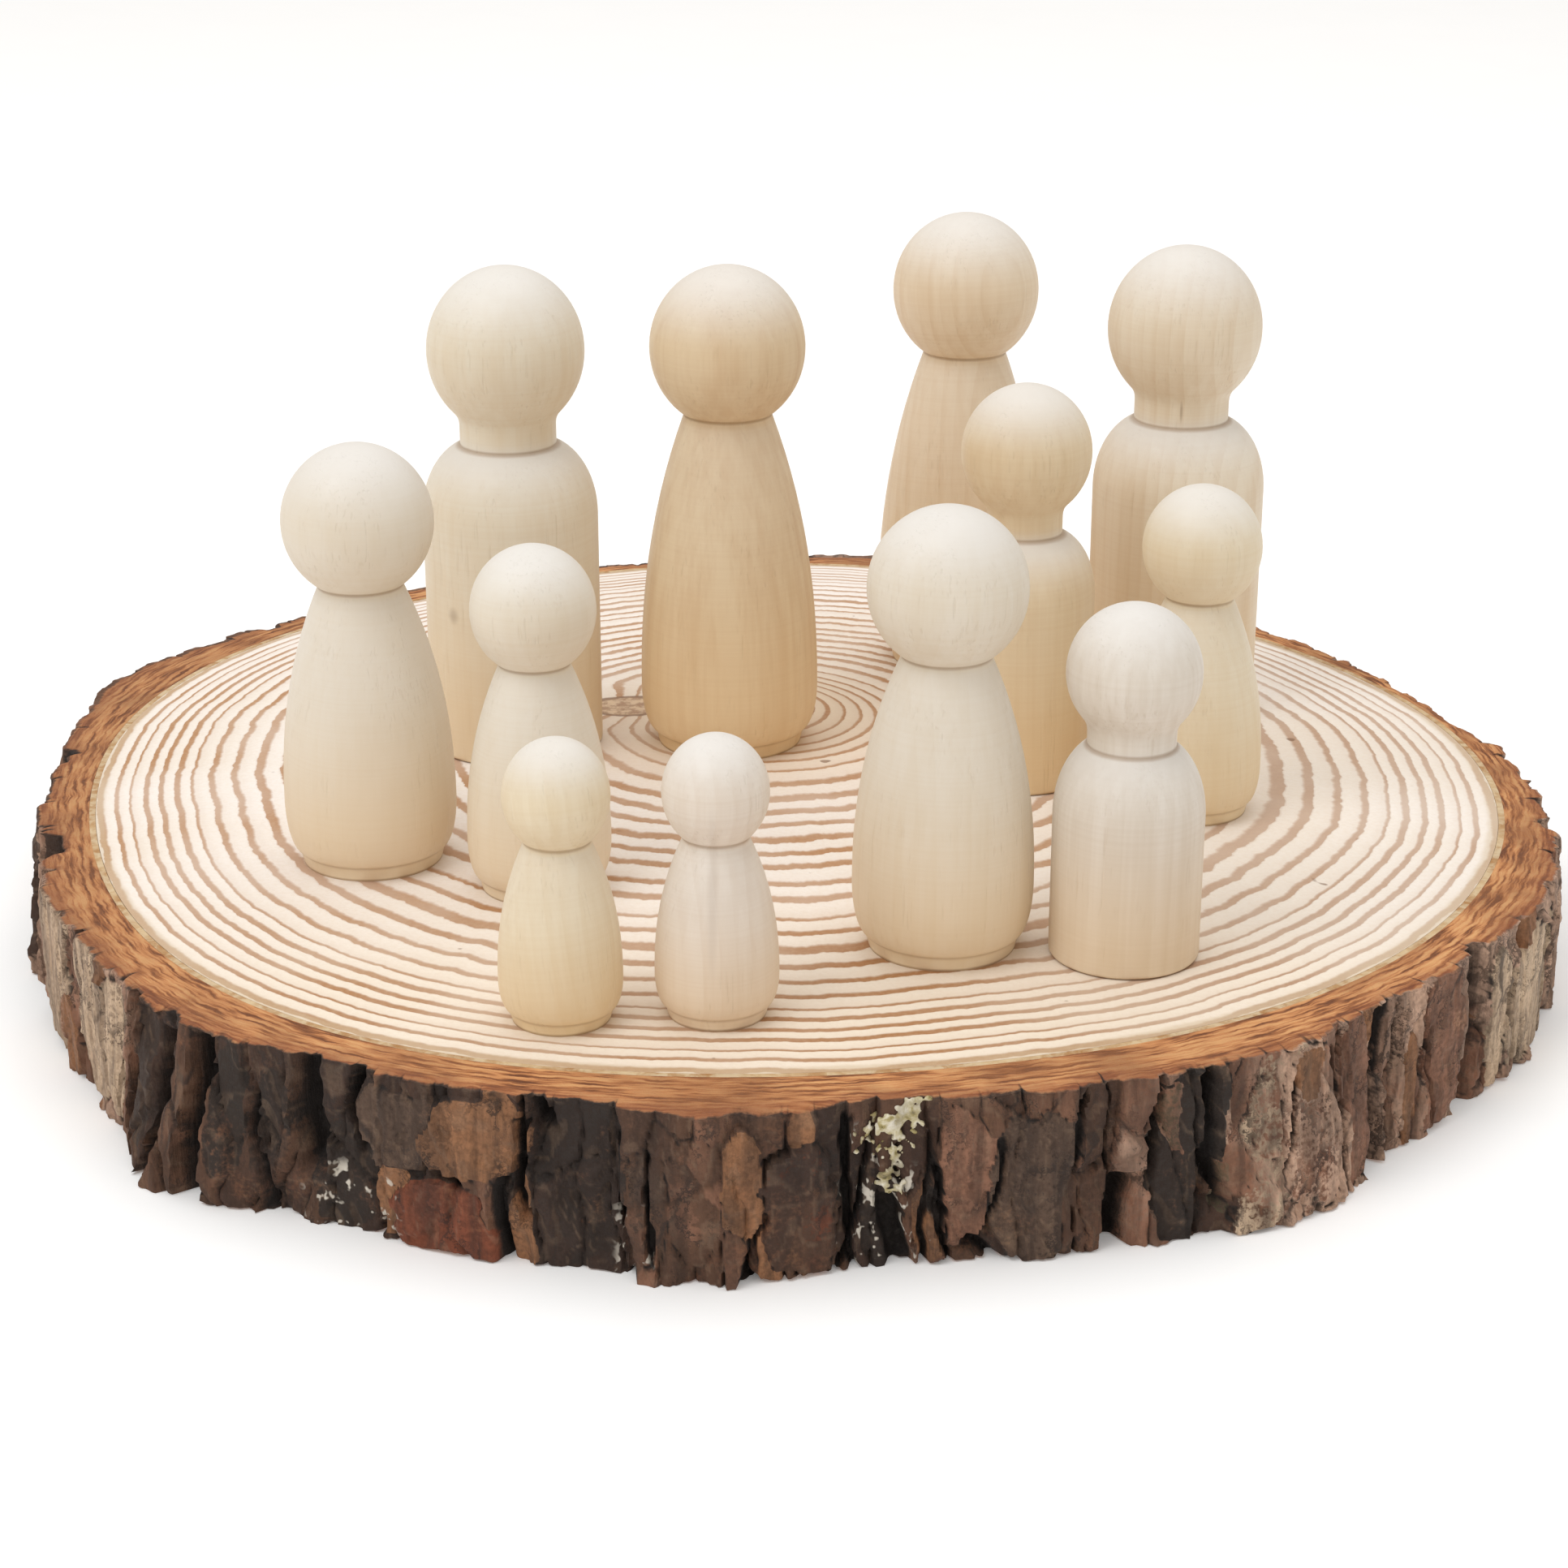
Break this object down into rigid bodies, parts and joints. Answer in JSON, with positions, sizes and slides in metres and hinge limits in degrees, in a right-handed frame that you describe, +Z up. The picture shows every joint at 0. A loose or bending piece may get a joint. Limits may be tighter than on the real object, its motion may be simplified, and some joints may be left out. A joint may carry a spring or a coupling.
{
  "type": "wooden peg meeple set",
  "caption": "Turned wooden peg pieces with round knobs, in graded heights and two body shapes, standing loose on a bark-edged slice of pine.",
  "frame": {"origin": "centre of the slice's outline, on its flat underside", "axes": "+Z up through the slice's thickness, +Y towards the tall pegs at the back, +X to the right as seen from the front"},
  "size_m": [0.1974, 0.2006, 0.0855],
  "materials": {
    "peg_wood": "bare sanded, satin",
    "slice_wood": "bare sawn and sanded",
    "slice_inner_bark": "bare, sawn",
    "slice_outer_bark": "natural bark, rough"
  },
  "bodies": {
    "slice": {"slice_wood": "slice_wood", "slice_inner_bark": "slice_inner_bark", "slice_outer_bark": "slice_outer_bark"},
    "tall_flared_peg_1": {"tall_flared_peg_1": "peg_wood"},
    "tall_flared_peg_2": {"tall_flared_peg_2": "peg_wood"},
    "tall_straight_peg_1": {"tall_straight_peg_1": "peg_wood"},
    "tall_straight_peg_2": {"tall_straight_peg_2": "peg_wood"},
    "medium_flared_peg_1": {"medium_flared_peg_1": "peg_wood"},
    "medium_flared_peg_2": {"medium_flared_peg_2": "peg_wood"},
    "medium_straight_peg": {"medium_straight_peg": "peg_wood"},
    "small_flared_peg_1": {"small_flared_peg_1": "peg_wood"},
    "small_flared_peg_2": {"small_flared_peg_2": "peg_wood"},
    "small_straight_peg": {"small_straight_peg": "peg_wood"},
    "mini_flared_peg_1": {"mini_flared_peg_1": "peg_wood"},
    "mini_flared_peg_2": {"mini_flared_peg_2": "peg_wood"}
  },
  "joints": [
    {"name": "tall_flared_peg_1_lift", "type": "slide", "parent": "slice", "child": "tall_flared_peg_1", "axis": [0, 0, 1], "range_m": [0, 0.07]},
    {"name": "tall_flared_peg_2_lift", "type": "slide", "parent": "slice", "child": "tall_flared_peg_2", "axis": [0, 0, 1], "range_m": [0, 0.07]},
    {"name": "tall_straight_peg_1_lift", "type": "slide", "parent": "slice", "child": "tall_straight_peg_1", "axis": [0, 0, 1], "range_m": [0, 0.07]},
    {"name": "tall_straight_peg_2_lift", "type": "slide", "parent": "slice", "child": "tall_straight_peg_2", "axis": [0, 0, 1], "range_m": [0, 0.07]},
    {"name": "medium_flared_peg_1_lift", "type": "slide", "parent": "slice", "child": "medium_flared_peg_1", "axis": [0, 0, 1], "range_m": [0, 0.07]},
    {"name": "medium_flared_peg_2_lift", "type": "slide", "parent": "slice", "child": "medium_flared_peg_2", "axis": [0, 0, 1], "range_m": [0, 0.07]},
    {"name": "medium_straight_peg_lift", "type": "slide", "parent": "slice", "child": "medium_straight_peg", "axis": [0, 0, 1], "range_m": [0, 0.07]},
    {"name": "small_flared_peg_1_lift", "type": "slide", "parent": "slice", "child": "small_flared_peg_1", "axis": [0, 0, 1], "range_m": [0, 0.07]},
    {"name": "small_flared_peg_2_lift", "type": "slide", "parent": "slice", "child": "small_flared_peg_2", "axis": [0, 0, 1], "range_m": [0, 0.07]},
    {"name": "small_straight_peg_lift", "type": "slide", "parent": "slice", "child": "small_straight_peg", "axis": [0, 0, 1], "range_m": [0, 0.07]},
    {"name": "mini_flared_peg_1_lift", "type": "slide", "parent": "slice", "child": "mini_flared_peg_1", "axis": [0, 0, 1], "range_m": [0, 0.07]},
    {"name": "mini_flared_peg_2_lift", "type": "slide", "parent": "slice", "child": "mini_flared_peg_2", "axis": [0, 0, 1], "range_m": [0, 0.07]}
  ]
}
